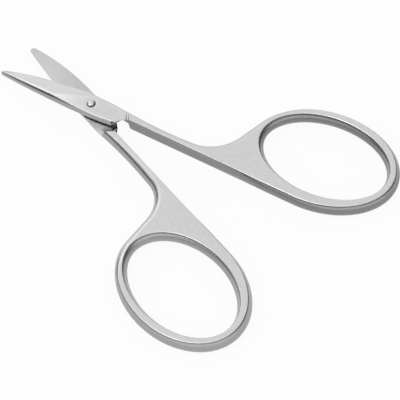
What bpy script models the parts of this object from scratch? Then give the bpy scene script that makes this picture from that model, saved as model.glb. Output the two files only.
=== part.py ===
"""Nail scissors with curved blades: two forged halves that turn on one rivet.

Run with blender --background --python part.py, or from the text editor.

Each half is shaped in a flat frame of its own, with the rivet's axis through the
origin, +X towards the finger rings, +Y towards the side of its own ring, +Z
towards its blade's outer face and the inner faces near Z = 0. The lower half is
the same shape turned over about X, but for its heel. Both blades are then bent the
same way, as surfaces turned about the rivet's axis, so they fit at any opening.
"""
import math

import bmesh
import bpy
from mathutils import Vector

# Pose as built, in degrees
OPENING_ANGLE = 20.8              # between the two halves

# Finger rings, in metres: sizes of the flat face
HANDLE_THICKNESS = 0.0028
INNER_EDGE_OFFSET = 0.00024       # shank's inner edge from the centre line
RING_LENGTH = 0.0289
RING_WIDTH = 0.0204
RING_CENTRE_REACH = 0.04496       # from the rivet's axis
RING_TILT = 0.7                   # degrees
RING_BAND = 0.00115               # flat face round the hole, at the ring's ends and outer side
RING_INNER_BAND = 0.00185         # and at its inner side
HOLE_SHIFT = 0.00013              # hole's centre beyond the ring's
HOLE_TILT = -1.7                  # degrees
RING_WALL_SWELL = 0.00059         # how far the rounded walls stand out
HOLE_WALL_SWELL = 0.00072
SWELL_START_REACH = 0.026         # the inner wall is flat up to here
SWELL_FULL_REACH = 0.040

# Shanks
WAIST_REACH = 0.0155
WAIST_WIDTH = 0.00114
SHANK_SIDE_RADIUS = 0.110
SHANK_WALL_SWELL = 0.00050
THROAT_START_REACH = 0.0220       # where the shank's outer side turns up to the ring
THROAT_LEAVE_ANGLE = 167.0        # degrees round the ring, where the throat meets it

# Lap joint
JOINT_GAP = 0.0001                # between the two inner faces
PLATE_RISE = 0.0001               # plate's outer face above the shank's
SHOULDER_REACH = 0.0083
SHOULDER_SLANT = 40.0             # degrees from square across
UPPER_CORNER_REACH = 0.00665      # the heel's corner and notch on the outer face
UPPER_NOTCH_REACH = 0.0075
UPPER_NOTCH_OFFSET = -0.0005
UPPER_UNDER_CORNER_REACH = 0.00588    # and on the inner face, where it slopes in
UPPER_UNDER_CORNER_OFFSET = -0.00116
UPPER_UNDER_NOTCH_REACH = 0.0067
UPPER_UNDER_NOTCH_OFFSET = 0.0005
LOWER_CORNER_REACH = 0.0061
LOWER_NOTCH_REACH = 0.0073
LOWER_NOTCH_OFFSET = -0.00042
LOWER_UNDER_CORNER_REACH = 0.0058
LOWER_UNDER_CORNER_OFFSET = -0.00015
LOWER_UNDER_NOTCH_REACH = 0.0076
LOWER_UNDER_NOTCH_OFFSET = -0.00015
PLATE_EVEN_REACH = 0.0056         # up to here the plate's side is upright
PLATE_SIDE_SWELL = 0.00015        # beside the rivet; it grows to the shank's

# Blades
BLADE_LENGTH = 0.0218             # rivet's axis to tip
BLADE_HALF_WIDTH = 0.00225
BLADE_WIDEST_REACH = 0.003
HEEL_SIDE_RADIUS = 0.075
TIP_RADIUS = 0.0006
TIP_THICKNESS = 0.00085
EDGE_THICKNESS = 0.00012
GRIND_START_REACH = -0.0003       # on the rings' side of the rivet
GRIND_FULL_REACH = 0.008          # where the grind reaches the spine
SPINE_LAND_SHARE = 0.02           # of the blade's width, left flat along the spine
SPINE_SWELL = 0.00045             # how far the rounded spine stands out beyond its top edge
BEND_START_REACH = 0.003
TIP_DROP = 0.0021                 # how far the tips curve down

# Rivet
RIVET_DIAMETER = 0.0013
RIVET_HEAD_DIAMETER = 0.0017
RIVET_HEAD_RISE = 0.0004          # above the upper plate
RIVET_HEAD_SIDE = 0.00012
RIVET_TAIL_DIAMETER = 0.0024
RIVET_TAIL_DEPTH = 0.0006
RUNNING_CLEARANCE = 0.00005
SEAT_DIAMETER = 0.0026            # shallow dish round the rivet's head
SEAT_DEPTH = 0.00006
CUT_OVERRUN = 0.001

# Fineness of the curves
WALL_BANDS = 4                    # on each side of the inner face's height
FACE_COLUMNS = 4
RING_POINTS = 64
INNER_POINTS = 14
THROAT_POINTS = 9
SHANK_STEPS = 6
PLATE_STEPS = 5
HEEL_STEPS = 3
BLADE_STEPS = 22
TIP_STEPS = 5
DOME_STEPS = 5
TURNED_STEPS = 32
SHARED_POINT_DISTANCE = 0.0000002

# Sizes that follow
HALF_THICKNESS = HANDLE_THICKNESS / 2
INNER_FACE = JOINT_GAP / 2
PLATE_TOP = HALF_THICKNESS + PLATE_RISE
HOLE_LENGTH = RING_LENGTH - 2 * RING_BAND
HOLE_WIDTH = RING_WIDTH - RING_BAND - RING_INNER_BAND
RIVET_HOLE_RADIUS = RIVET_DIAMETER / 2 + RUNNING_CLEARANCE
RISE_OF_RING = math.hypot(RING_LENGTH / 2 * math.sin(math.radians(RING_TILT)),
                          RING_WIDTH / 2 * math.cos(math.radians(RING_TILT)))
RISE_OF_HOLE = math.hypot(HOLE_LENGTH / 2 * math.sin(math.radians(HOLE_TILT)),
                          HOLE_WIDTH / 2 * math.cos(math.radians(HOLE_TILT)))
RING_CENTRE = Vector((RING_CENTRE_REACH, INNER_EDGE_OFFSET + RISE_OF_RING))
HOLE_CENTRE = Vector((RING_CENTRE_REACH + HOLE_SHIFT,
                      INNER_EDGE_OFFSET + RING_INNER_BAND + RISE_OF_HOLE))
TIP_CENTRE = BLADE_LENGTH - TIP_RADIUS
AXIS_HEIGHT = PLATE_TOP           # of the inner faces above the rivet's flat rear face


def smooth(value, start, end):
    """A smooth step from 0 at start to 1 at end."""
    share = min(1.0, max(0.0, (value - start) / (end - start)))
    return share * share * (3.0 - 2.0 * share)


def spread(start, end, count):
    """Evenly spaced values from start to end, both of them included."""
    return [start + (end - start) * i / (count - 1) for i in range(count)]


def ellipse_point(centre, length, width, tilt, angle):
    """A point of a tilted ellipse, and the direction in which the ellipse runs there."""
    turn = math.radians(tilt)
    along = Vector((math.cos(turn), math.sin(turn))) * (length / 2)
    across = Vector((-math.sin(turn), math.cos(turn))) * (width / 2)
    point = centre + along * math.cos(angle) + across * math.sin(angle)
    run = across * math.cos(angle) - along * math.sin(angle)
    return point, run.normalized()


def ring_point(angle):
    return ellipse_point(RING_CENTRE, RING_LENGTH, RING_WIDTH, RING_TILT, angle)


def shank_edge(reach):
    """Outer edge of the shank's flat face: a wide arc, nearest the centre line at its waist."""
    return INNER_EDGE_OFFSET + WAIST_WIDTH + (reach - WAIST_REACH) ** 2 / (2 * SHANK_SIDE_RADIUS)


def half_width(reach):
    """Half the blade's width at a reach beyond the rivet, negative towards the rings."""
    past_widest = reach - BLADE_WIDEST_REACH
    if past_widest < 0:
        return BLADE_HALF_WIDTH - past_widest ** 2 / (2 * HEEL_SIDE_RADIUS)
    share = past_widest / (TIP_CENTRE - BLADE_WIDEST_REACH)
    return BLADE_HALF_WIDTH - (BLADE_HALF_WIDTH - TIP_RADIUS) * share * share


def spine_height(reach):
    """Height of the blade's outer face along the spine, at a reach beyond the rivet."""
    share = max(0.0, reach) / BLADE_LENGTH
    return PLATE_TOP - (PLATE_TOP - INNER_FACE - TIP_THICKNESS) * share * share


def throat():
    """The hollow arc from the ring down to the shank, tangent to both."""
    leave, run = ring_point(math.radians(THROAT_LEAVE_ANGLE))
    side = Vector((-run.y, run.x))
    start = Vector((THROAT_START_REACH, shank_edge(THROAT_START_REACH)))
    up = Vector((-(THROAT_START_REACH - WAIST_REACH) / SHANK_SIDE_RADIUS, 1.0)).normalized()
    radius = (leave - start).dot(side) / (1.0 + up.dot(side))
    centre = start + up * radius
    angles = spread(math.atan2(side.y, side.x), math.atan2(-up.y, -up.x), THROAT_POINTS)
    return [centre + Vector((math.cos(a), math.sin(a))) * radius for a in angles]


def handle_outline():
    """The flat face's outline, from the waist's inner edge round the ring to its outer edge."""
    turn = math.radians(RING_TILT)
    lowest_angle = math.atan2(RING_WIDTH * math.cos(turn), RING_LENGTH * math.sin(turn)) - math.pi
    leave_angle = math.radians(THROAT_LEAVE_ANGLE)
    lowest = ring_point(lowest_angle)[0]
    inner = [Vector((x, INNER_EDGE_OFFSET)) for x in spread(WAIST_REACH, lowest.x, INNER_POINTS)]
    arc_points = round(RING_POINTS * (leave_angle - lowest_angle) / (2 * math.pi))
    ring = [ring_point(a)[0] for a in spread(lowest_angle, leave_angle, arc_points)]
    reaches = spread(THROAT_START_REACH, WAIST_REACH, SHANK_STEPS)
    outer = [Vector((x, shank_edge(x))) for x in reaches]
    return inner + ring[1:] + throat() + outer[1:]


def outward_directions(outline):
    """The outward direction at each point of the handle's outline, square across at its ends."""
    sides = []
    for behind, ahead in zip(outline[:-2], outline[2:]):
        run = (ahead - behind).normalized()
        sides.append(Vector((run.y, -run.x)))
    return [Vector((0, -1))] + sides + [Vector((0, 1))]


def wall_swell(point, side):
    """How far the outer wall stands out: flat along the shank's inner side, fullest round the ring."""
    if side.y < 0:
        return RING_WALL_SWELL * smooth(point.x, SWELL_START_REACH, SWELL_FULL_REACH)
    share = smooth(point.x, THROAT_START_REACH, RING_CENTRE_REACH - RING_LENGTH / 2)
    return SHANK_WALL_SWELL + (RING_WALL_SWELL - SHANK_WALL_SWELL) * share


def wall_rows(top):
    """Heights down a wall from its top edge, each with its share of the swell."""
    upper = [(top + (INNER_FACE - top) * s, s * (2 - s)) for s in spread(0, 1, WALL_BANDS + 1)]
    lower = [(-HALF_THICKNESS + (INNER_FACE + HALF_THICKNESS) * s, s * (2 - s))
             for s in spread(1, 0, WALL_BANDS + 1)]
    return upper + lower[1:]


def join_rows(mesh, rows, closed):
    """Faces between neighbouring rows of vertices."""
    for upper, lower in zip(rows, rows[1:]):
        last = len(upper) if closed else len(upper) - 1
        for i in range(last):
            j = (i + 1) % len(upper)
            mesh.faces.new((upper[i], lower[i], lower[j], upper[j]))


def add_handle(mesh):
    """Ring and shank up to the waist: swollen walls between two flat faces."""
    outline = handle_outline()
    sides = outward_directions(outline)
    hole = [ellipse_point(HOLE_CENTRE, HOLE_LENGTH, HOLE_WIDTH, HOLE_TILT, 2 * math.pi * i / RING_POINTS)
            for i in range(RING_POINTS)]
    outer_rows = []
    hole_rows = []
    for height, swell_share in wall_rows(HALF_THICKNESS):
        row = []
        for point, side in zip(outline, sides):
            spot = point + side * (wall_swell(point, side) * swell_share)
            row.append(mesh.verts.new((*spot, height)))
        outer_rows.append(row)
        row = []
        for point, run in hole:
            spot = point + Vector((-run.y, run.x)) * (HOLE_WALL_SWELL * swell_share)
            row.append(mesh.verts.new((*spot, height)))
        hole_rows.append(row)
    join_rows(mesh, outer_rows, False)
    join_rows(mesh, hole_rows, True)
    columns = spread(outline[-1].y, outline[0].y, FACE_COLUMNS + 1)[1:-1]
    for rim, hole_rim in ((outer_rows[0], hole_rows[0]), (outer_rows[-1], hole_rows[-1])):
        height = rim[0].co.z
        waist = [mesh.verts.new((WAIST_REACH, y, height)) for y in columns]
        edges = []
        for loop in (rim + waist, hole_rim):
            for first, second in zip(loop, loop[1:] + loop[:1]):
                edges.append(mesh.edges.get((first, second)) or mesh.edges.new((first, second)))
        bmesh.ops.triangle_fill(mesh, use_beauty=True, edges=edges)


def section(spine_top, spine_low, edge, top, swell, grind_share, full):
    """One section's points, from the outer face's inner or spine side right round.

    The outer face runs flat to where the grind starts, down the grind, and down the
    rounded side to the inner face. A full section goes on round the shank's far half.
    The spine's wall closes it, from the inner face up to the outer.
    """
    across = edge - spine_top
    swell_share = swell / across.length
    ground_share = grind_share * (1 - EDGE_THICKNESS / (top - INNER_FACE))
    grind_end = 1 - swell_share * (1 - ground_share) ** 2
    flat_end = grind_end - (1 - SPINE_LAND_SHARE) * grind_share
    points = [(spine_top + across * v, top) for v in spread(0, flat_end, FACE_COLUMNS + 1)]
    for s in spread(ground_share, 1, WALL_BANDS + 1):
        points.append((edge - across * (swell_share * (1 - s) ** 2), top + (INNER_FACE - top) * s))
    if full:
        for height, share in wall_rows(top)[WALL_BANDS + 1:]:
            points.append((edge - across * (swell_share * (1 - share)), height))
        for v in spread(flat_end, 0, FACE_COLUMNS + 1)[1:]:
            points.append((spine_top + across * v, -HALF_THICKNESS))
        for height in spread(-HALF_THICKNESS, INNER_FACE, WALL_BANDS + 1)[1:]:
            points.append((spine_top, height))
    else:
        for v in spread(0, 1, 2 * WALL_BANDS + FACE_COLUMNS + 1)[1:]:
            points.append((edge.lerp(spine_low, v), INNER_FACE))
    for s in spread(1, 0, WALL_BANDS + 1)[1:-1]:
        points.append((spine_low.lerp(spine_top, (1 - s) ** 2), top + (INNER_FACE - top) * s))
    return [(*place, height) for place, height in points]


def blade_sections():
    """Sections from the tip to the rivet."""
    stations = [(TIP_CENTRE + TIP_RADIUS * math.sin(a), TIP_RADIUS * math.cos(a))
                for a in spread(math.radians(80), math.radians(10), TIP_STEPS)]
    stations += [(reach, half_width(reach)) for reach in spread(TIP_CENTRE, 0, BLADE_STEPS)]
    sections = []
    for reach, half in stations:
        grind = min(1.0, (reach - GRIND_START_REACH) / (GRIND_FULL_REACH - GRIND_START_REACH))
        grind = max(0.0, grind)
        swell = PLATE_SIDE_SWELL * (1 - grind)
        inset = SPINE_SWELL * grind * half / BLADE_HALF_WIDTH
        fullness = math.sqrt(min(1.0, half / TIP_RADIUS))
        top = INNER_FACE + (spine_height(reach) - INNER_FACE) * fullness
        sections.append(section(Vector((-reach, inset - half)), Vector((-reach, -half)),
                                Vector((-reach, half)), top, swell, grind, False))
    return sections


def shoulder_outer_reach():
    """Where the slanting shoulder meets the shank's outer side."""
    rise = shank_edge(SHOULDER_REACH) + SHANK_WALL_SWELL - INNER_EDGE_OFFSET
    return SHOULDER_REACH - rise * math.tan(math.radians(SHOULDER_SLANT))


def side_point(reach):
    """The widest line of the shank's outer side, at the height of the inner faces."""
    return Vector((reach, shank_edge(reach) + SHANK_WALL_SWELL))


def heel_points(lower):
    """The heel's corner and notch on a half's outer face, then the same two on its inner face."""
    if lower:
        return (Vector((LOWER_CORNER_REACH, -half_width(-LOWER_CORNER_REACH))),
                Vector((LOWER_NOTCH_REACH, LOWER_NOTCH_OFFSET)),
                Vector((LOWER_UNDER_CORNER_REACH, LOWER_UNDER_CORNER_OFFSET)),
                Vector((LOWER_UNDER_NOTCH_REACH, LOWER_UNDER_NOTCH_OFFSET)))
    return (Vector((UPPER_CORNER_REACH, -half_width(-UPPER_CORNER_REACH))),
            Vector((UPPER_NOTCH_REACH, UPPER_NOTCH_OFFSET)),
            Vector((UPPER_UNDER_CORNER_REACH, UPPER_UNDER_CORNER_OFFSET)),
            Vector((UPPER_UNDER_NOTCH_REACH, UPPER_UNDER_NOTCH_OFFSET)))


def plate_sections(lower):
    """Sections of the lap plate, from the rivet to the slanting shoulder.

    Each has a point on the outer face's spine side and one on the inner face's: the
    heel slopes in under the outer face, and the inner face is narrow there.
    """
    tops = [Vector((x, -half_width(-x))) for x in spread(0, PLATE_EVEN_REACH, PLATE_STEPS)]
    lows = list(tops)
    corner, notch, under_corner, under_notch = heel_points(lower)
    shoulder = Vector((SHOULDER_REACH, INNER_EDGE_OFFSET))
    for share in spread(0, 1, HEEL_STEPS + 1):
        tops.append(corner.lerp(notch, share))
        lows.append(under_corner.lerp(under_notch, share))
    tops += [(notch + shoulder) / 2, shoulder]
    lows += [(under_notch + shoulder) / 2, shoulder]
    start = Vector((0, half_width(0)))
    end = side_point(shoulder_outer_reach())
    sections = []
    for i in range(1, len(tops)):
        share = i / (len(tops) - 1)
        height = HALF_THICKNESS if share == 1 else PLATE_TOP
        swell = PLATE_SIDE_SWELL + (SHANK_WALL_SWELL - PLATE_SIDE_SWELL) * share
        sections.append(section(tops[i], lows[i], start.lerp(end, share), height, swell, 0.0, False))
    return sections


def shank_sections():
    """Full sections from the shoulder to the waist, where the handle takes over."""
    outer_start = shoulder_outer_reach()
    inner_reaches = spread(SHOULDER_REACH, WAIST_REACH, SHANK_STEPS + 1)
    outer_reaches = spread(outer_start, WAIST_REACH, SHANK_STEPS + 1)
    sections = []
    for inner_reach, outer_reach in zip(inner_reaches, outer_reaches):
        inner = Vector((inner_reach, INNER_EDGE_OFFSET))
        edge = side_point(outer_reach)
        sections.append(section(inner, inner, edge, HALF_THICKNESS, SHANK_WALL_SWELL, 0.0, True))
    return sections


def drop(reach):
    """How far a blade is bent down at a reach from the rivet's axis."""
    share = max(0.0, reach - BEND_START_REACH) / (BLADE_LENGTH - BEND_START_REACH)
    return TIP_DROP * share * share


def place(point, lower):
    """A half's own point, turned over for the lower half, with the blade's bend."""
    x, y, z = point
    if lower:
        y, z = -y, -z
    if x < 0:
        z -= drop(math.hypot(x, y))
    return Vector((x, y, z))


def forged_half(name, lower):
    """Mesh of one half: blade, lap plate, shank and ring in one closed skin."""
    mesh = bmesh.new()
    add_handle(mesh)
    sections = blade_sections() + plate_sections(lower) + shank_sections()
    rows = [[mesh.verts.new(point) for point in points] for points in sections]
    join_rows(mesh, rows, True)
    bmesh.ops.remove_doubles(mesh, verts=mesh.verts, dist=SHARED_POINT_DISTANCE)
    open_edges = [edge for edge in mesh.edges if edge.is_boundary]
    bmesh.ops.holes_fill(mesh, edges=open_edges)
    for vertex in mesh.verts:
        vertex.co = place(vertex.co, lower)
    bmesh.ops.recalc_face_normals(mesh, faces=mesh.faces)
    data = bpy.data.meshes.new(name)
    mesh.to_mesh(data)
    mesh.free()
    return data


def steel(name, colour, roughness):
    """Bare stainless steel."""
    material = bpy.data.materials.new(name)
    material.use_nodes = True
    shader = material.node_tree.nodes["Principled BSDF"]
    shader.inputs["Base Color"].default_value = (*colour, 1.0)
    shader.inputs["Metallic"].default_value = 1.0
    shader.inputs["Roughness"].default_value = roughness
    return material


def add_object(name, data, collection):
    """An object on the rivet's axis, at the height of the inner faces."""
    thing = bpy.data.objects.new(name, data)
    thing.location.z = AXIS_HEIGHT
    collection.objects.link(thing)
    return thing


def add_turned(name, profile, collection):
    """A turned solid: a profile of (radius, height) points from the top down, swept round."""
    mesh = bmesh.new()
    vertices = [mesh.verts.new((radius, 0, height)) for radius, height in profile]
    for upper, lower in zip(vertices, vertices[1:]):
        mesh.edges.new((upper, lower))
    data = bpy.data.meshes.new(name)
    mesh.to_mesh(data)
    mesh.free()
    thing = add_object(name, data, collection)
    screw = thing.modifiers.new("turn", "SCREW")
    screw.steps = TURNED_STEPS
    screw.render_steps = TURNED_STEPS
    screw.use_merge_vertices = True
    screw.merge_threshold = SHARED_POINT_DISTANCE
    return thing


def rivet_profile():
    """Domed head above the upper plate, plain shaft, countersunk tail flush with the lower plate."""
    head = RIVET_HEAD_DIAMETER / 2
    head_base = PLATE_TOP - SEAT_DEPTH + RUNNING_CLEARANCE
    dome_base = head_base + RIVET_HEAD_SIDE
    dome_rise = PLATE_TOP + RIVET_HEAD_RISE - dome_base
    dome = [(head * math.cos(a), dome_base + dome_rise * math.sin(a))
            for a in spread(math.pi / 2, 0, DOME_STEPS + 1)]
    dome[0] = (0, dome_base + dome_rise)
    shaft = RIVET_DIAMETER / 2
    tail = RIVET_TAIL_DIAMETER / 2
    return dome + [(head, head_base), (shaft, head_base), (shaft, RIVET_TAIL_DEPTH - PLATE_TOP),
                   (tail, -PLATE_TOP), (0, -PLATE_TOP)]


def upper_cut_profile():
    """Running hole through the upper plate, with a shallow dish round the head."""
    seat = SEAT_DIAMETER / 2
    floor_edge = RIVET_HEAD_DIAMETER / 2 + RUNNING_CLEARANCE
    widening = seat - floor_edge
    return [(0, PLATE_TOP + CUT_OVERRUN), (seat + widening, PLATE_TOP + CUT_OVERRUN),
            (seat + widening, PLATE_TOP + SEAT_DEPTH), (floor_edge, PLATE_TOP - SEAT_DEPTH),
            (RIVET_HOLE_RADIUS, PLATE_TOP - SEAT_DEPTH), (RIVET_HOLE_RADIUS, -CUT_OVERRUN), (0, -CUT_OVERRUN)]


def lower_cut_profile():
    """Hole through the lower plate, countersunk for the rivet's tail."""
    tail = RIVET_TAIL_DIAMETER / 2 + RUNNING_CLEARANCE
    slope = (tail - RIVET_HOLE_RADIUS) / RIVET_TAIL_DEPTH
    return [(0, CUT_OVERRUN), (RIVET_HOLE_RADIUS, CUT_OVERRUN), (RIVET_HOLE_RADIUS, RIVET_TAIL_DEPTH - PLATE_TOP),
            (tail + slope * CUT_OVERRUN, -PLATE_TOP - CUT_OVERRUN), (0, -PLATE_TOP - CUT_OVERRUN)]


def cut(thing, cutter):
    """Takes a cutter's shape out of a part."""
    boolean = thing.modifiers.new("rivet hole", "BOOLEAN")
    boolean.operation = "DIFFERENCE"
    boolean.object = cutter
    cutter.hide_render = True
    cutter.display_type = "WIRE"


def shade(thing):
    """Smooth shading, with its edges kept sharp."""
    thing.data.shade_smooth()
    thing.data.set_sharp_from_angle(angle=math.radians(30))


def add_half(name, lower, cut_profile, parts, cutters, material):
    half = add_object(name, forged_half(name, lower), parts)
    cutter = add_turned(name + "_rivet_hole", cut_profile, cutters)
    cut(half, cutter)
    turn = OPENING_ANGLE / 2
    half.rotation_euler.z = math.radians(-turn if lower else turn)
    half.data.materials.append(material)
    shade(half)


def add_rivet(parts, material):
    rivet = add_turned("pivot_rivet", rivet_profile(), parts)
    rivet.data.materials.append(material)
    rivet.modifiers["turn"].use_smooth_shade = True


def new_collection(name):
    collection = bpy.data.collections.new(name)
    bpy.context.scene.collection.children.link(collection)
    return collection


def main():
    for thing in list(bpy.data.objects):
        bpy.data.objects.remove(thing)
    parts = new_collection("nail_scissors")
    cutters = new_collection("cutters")
    add_half("upper_half", False, upper_cut_profile(), parts, cutters,
             steel("upper_half_steel", (0.62, 0.62, 0.63), 0.34))
    add_half("lower_half", True, lower_cut_profile(), parts, cutters,
             steel("lower_half_steel", (0.60, 0.60, 0.61), 0.36))
    add_rivet(parts, steel("pivot_rivet_steel", (0.68, 0.68, 0.69), 0.25))


main()
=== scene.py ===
"""Nail scissors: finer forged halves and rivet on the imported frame, in a pale studio.

Each half is shaped in a flat frame of its own, with the rivet's axis through the
origin, +X towards the finger rings, +Y towards the side of its own ring and +Z
towards its blade's outer face. The lower half is turned over about X, and its heel
is its own. Both blades are then bent the same way, as surfaces turned about the axis.
"""
import math
from collections import namedtuple

import bmesh
import bpy
from mathutils import Matrix, Vector


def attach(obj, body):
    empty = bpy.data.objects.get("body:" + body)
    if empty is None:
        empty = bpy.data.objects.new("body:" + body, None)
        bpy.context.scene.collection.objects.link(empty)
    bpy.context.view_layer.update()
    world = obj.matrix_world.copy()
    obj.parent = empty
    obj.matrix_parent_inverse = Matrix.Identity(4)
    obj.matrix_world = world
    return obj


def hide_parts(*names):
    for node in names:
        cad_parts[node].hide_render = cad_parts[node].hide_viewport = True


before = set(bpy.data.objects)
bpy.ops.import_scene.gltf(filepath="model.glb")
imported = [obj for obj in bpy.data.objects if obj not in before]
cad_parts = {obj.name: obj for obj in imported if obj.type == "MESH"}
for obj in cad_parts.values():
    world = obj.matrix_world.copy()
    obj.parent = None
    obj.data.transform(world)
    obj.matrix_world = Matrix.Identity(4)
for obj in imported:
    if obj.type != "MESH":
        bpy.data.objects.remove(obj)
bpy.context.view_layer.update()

# Pose as packed, in degrees
OPENING_ANGLE = 20.8

# Finger rings, in metres: sizes of the flat face
HANDLE_THICKNESS = 0.0028
INNER_EDGE_OFFSET = 0.00024
RING_LENGTH = 0.0289
RING_WIDTH = 0.0204
RING_CENTRE_REACH = 0.04496
RING_TILT = 0.7
RING_BAND = 0.00115
RING_INNER_BAND = 0.00185
HOLE_SHIFT = 0.00013
HOLE_TILT = -1.7
RING_WALL_SWELL = 0.00059
HOLE_WALL_SWELL = 0.00072
WALL_FULLNESS = 2.0               # how much sooner than its middle a wall reaches its swell
HOLE_FULLNESS = 1.65
SWELL_START_REACH = 0.026
SWELL_FULL_REACH = 0.040

# Shanks
WAIST_REACH = 0.0155
WAIST_WIDTH = 0.00114
SHANK_SIDE_RADIUS = 0.110
SHANK_WALL_SWELL = 0.00050
THROAT_START_REACH = 0.0220
THROAT_LEAVE_ANGLE = 167.0

# Lap joint
JOINT_GAP = 0.0001
PLATE_RISE = 0.0001
GROOVE_REACH = 0.00821            # across the outer face, between plate and shank
GROOVE_SLANT = 35.0
GROOVE_FLOOR_WIDTH = 0.00032
GROOVE_MOUTH_WIDTH = 0.00062
GROOVE_DEPTH = 0.00016            # at the inner edge, running out towards the outer side
GROOVE_LENGTH = 0.0021
RELIEF_START_REACH = -0.0020      # the lower plate's inner face, ground back from the rivet on
RELIEF_FULL_REACH = 0.0022
RELIEF_DEPTH = 0.0003
RELIEF_LEAVE_REACH = 0.0050       # and coming back up to the shank's outer side
RELIEF_END_REACH = 0.0078
RELIEF_LEAVE_OFFSET = -0.0004
RELIEF_END_OFFSET = 0.0014
SHOULDER_REACH = 0.0083
SHOULDER_SLANT = 40.0
SHOULDER_ROUNDING = 0.0003
UPPER_CORNER_REACH = 0.00665      # the heel's corner and notch on the outer face
UPPER_NOTCH_REACH = 0.0075
UPPER_NOTCH_OFFSET = -0.0005
UPPER_UNDER_CORNER_REACH = 0.00588    # and on the inner face, where it slopes in
UPPER_UNDER_CORNER_OFFSET = -0.00116
UPPER_UNDER_NOTCH_REACH = 0.0067
UPPER_UNDER_NOTCH_OFFSET = 0.0005
LOWER_CORNER_REACH = 0.0061
LOWER_NOTCH_REACH = 0.0073
LOWER_NOTCH_OFFSET = -0.00042
LOWER_UNDER_CORNER_REACH = 0.0058
LOWER_UNDER_CORNER_OFFSET = -0.00015
LOWER_UNDER_NOTCH_REACH = 0.0076
LOWER_UNDER_NOTCH_OFFSET = -0.00015
PLATE_EVEN_REACH = 0.0056         # up to here the plate's side is upright
FALL_START_REACH = 0.0073         # from the plate's outer face down to the shank's
FALL_END_REACH = 0.0078
PLATE_SIDE_SWELL = 0.00015

# Blades
BLADE_LENGTH = 0.0218
BLADE_HALF_WIDTH = 0.00225
BLADE_WIDEST_REACH = 0.003
HEEL_SIDE_RADIUS = 0.075
TIP_RADIUS = 0.0006
TIP_THICKNESS = 0.00085
EDGE_THICKNESS = 0.00012
GRIND_START_REACH = -0.0003
GRIND_FULL_REACH = 0.008
SPINE_LAND_SHARE = 0.02
SPINE_SWELL = 0.00045
SPINE_BEVEL_SHARE = 0.45          # the spine's swell is part bevel, part hollow
SPINE_BEVEL_DEPTH = 0.28          # as a share of the blade's thickness
BEND_START_REACH = 0.003
TIP_DROP = 0.0021

# Rivet
RIVET_DIAMETER = 0.0013
RIVET_HEAD_DIAMETER = 0.0017
RIVET_HEAD_RISE = 0.0004
RIVET_HEAD_SIDE = 0.00003         # straight side under the dome
RIVET_TAIL_DIAMETER = 0.0024
RIVET_TAIL_DEPTH = 0.0006
RUNNING_CLEARANCE = 0.00005
SEAT_DIAMETER = 0.0026
SEAT_DEPTH = 0.00006
CUT_OVERRUN = 0.001

# Rounded edges
EDGE_ROUNDING = 0.00013
SHANK_ROUNDING = 0.0009           # along the shank's and the throat's outer edge
ROUNDING_LEAVE_REACH = 0.0320
ROUNDING_END_REACH = 0.0380
SPINE_SOFTNESS = 0.00032          # how far in from the spine the blade's face starts to round over
SPINE_SOFT_END_REACH = 0.0075
CUTTING_ROUNDING = 0.00003

# Finish, with painted light and shade: heights and reaches in metres, tilts as the upright part of the
# surface's normal
# Base colours, with painted light and shade: walls painted darker than faces, the upper blade painted
# lighter and the lower blade darker, the spine painted dark, the heel's slope painted as shadow, and
# the rivet's dome painted darker down its sides
Colours = namedtuple("Colours", "face wall blade spine slope")
UPPER_COLOURS = Colours((0.59, 0.59, 0.595), (0.25, 0.25, 0.253), (0.69, 0.69, 0.695),
                        (0.38, 0.38, 0.383), (0.25, 0.25, 0.253))
LOWER_COLOURS = Colours((0.59, 0.59, 0.595), (0.375, 0.375, 0.378), (0.475, 0.475, 0.48),
                        (0.34, 0.34, 0.343), (0.05, 0.05, 0.052))
RIVET_COLOURS = Colours((0.58, 0.58, 0.585), (0.20, 0.20, 0.203), (0.58, 0.58, 0.585),
                        (0.20, 0.20, 0.203), (0.20, 0.20, 0.203))
HALF_ROUGHNESS = 0.30             # of the faces
RIVET_ROUGHNESS = 0.28
ROUGHNESS_LESS = 0.05             # in the finest streaks
ROUGHNESS_MORE = 0.07
WALL_ROUGHNESS = 0.21             # by a wall's edges
WALL_MIDDLE_ROUGHNESS = 0.36
WALL_MIDDLE_END = 0.0005          # above and below the inner faces' height
WALL_EDGE_START = 0.0011
WALL_DARK_START = 0.00085         # and painted darker still right by the rings' flat faces, as a painted dark reflection
WALL_DARK_FULL = 0.00125
WALL_DARK_SHARE = 0.62
FACE_START_TILT = 0.40            # from a wall's painted shade to a face's colour
FACE_FULL_TILT = 0.83
BLADE_FACE_START_TILT = 0.68
BLADE_FACE_FULL_TILT = 0.86
SPINE_DARK_START_TILT = 0.20      # the spine's bevel is painted darker than the wall under it, as a painted dark reflection
SPINE_DARK_FULL_TILT = 0.50
SPINE_DARK_SHARE = 0.40
DARK_START_REACH = 0.0050         # the heel's slope, painted as shade, darkest on the lower half as the shadow under the upper half's heel
DARK_FULL_REACH = 0.0053
DARK_LEAVE_REACH = 0.0084
DARK_END_REACH = 0.0095
DARK_FULL_OFFSET = 0.0006
DARK_END_OFFSET = 0.0009
SLOPE_START_FACING = 0.12         # towards the rings
SLOPE_FULL_FACING = 0.25
SLOPE_START_TILT = 0.97
SLOPE_FULL_TILT = 0.92
PLATE_PAINTED_LIGHT_START = 0.0075       # from here on the plate's wall has the spine's colour, painted lighter on the upper half and darker on the lower
PLATE_PAINTED_LIGHT_FULL = 0.0055
# the blade's painted light and shade: its face painted lighter on the upper half and darker on the
# lower
BLADE_PAINTED_LIGHT_START = 0.002
BLADE_PAINTED_LIGHT_FULL = -0.006
FINE_STREAKS = (600.0, 5500.0, 3000.0)    # per metre: along the piece, across it and up
FINE_DETAIL = 3.0
FINE_SHADES = ((0.25, 0.95), (0.75, 1.04))
FINE_SPREAD = (0.2, 0.8)          # the streaks' values with the least and the most roughness
BROAD_STREAKS = (90.0, 900.0, 900.0)
BROAD_DETAIL = 2.0
BROAD_SHADES = ((0.3, 0.985), (0.7, 1.015))
BUMP_STRENGTH = 0.25
BUMP_DISTANCE = 0.000004

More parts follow.
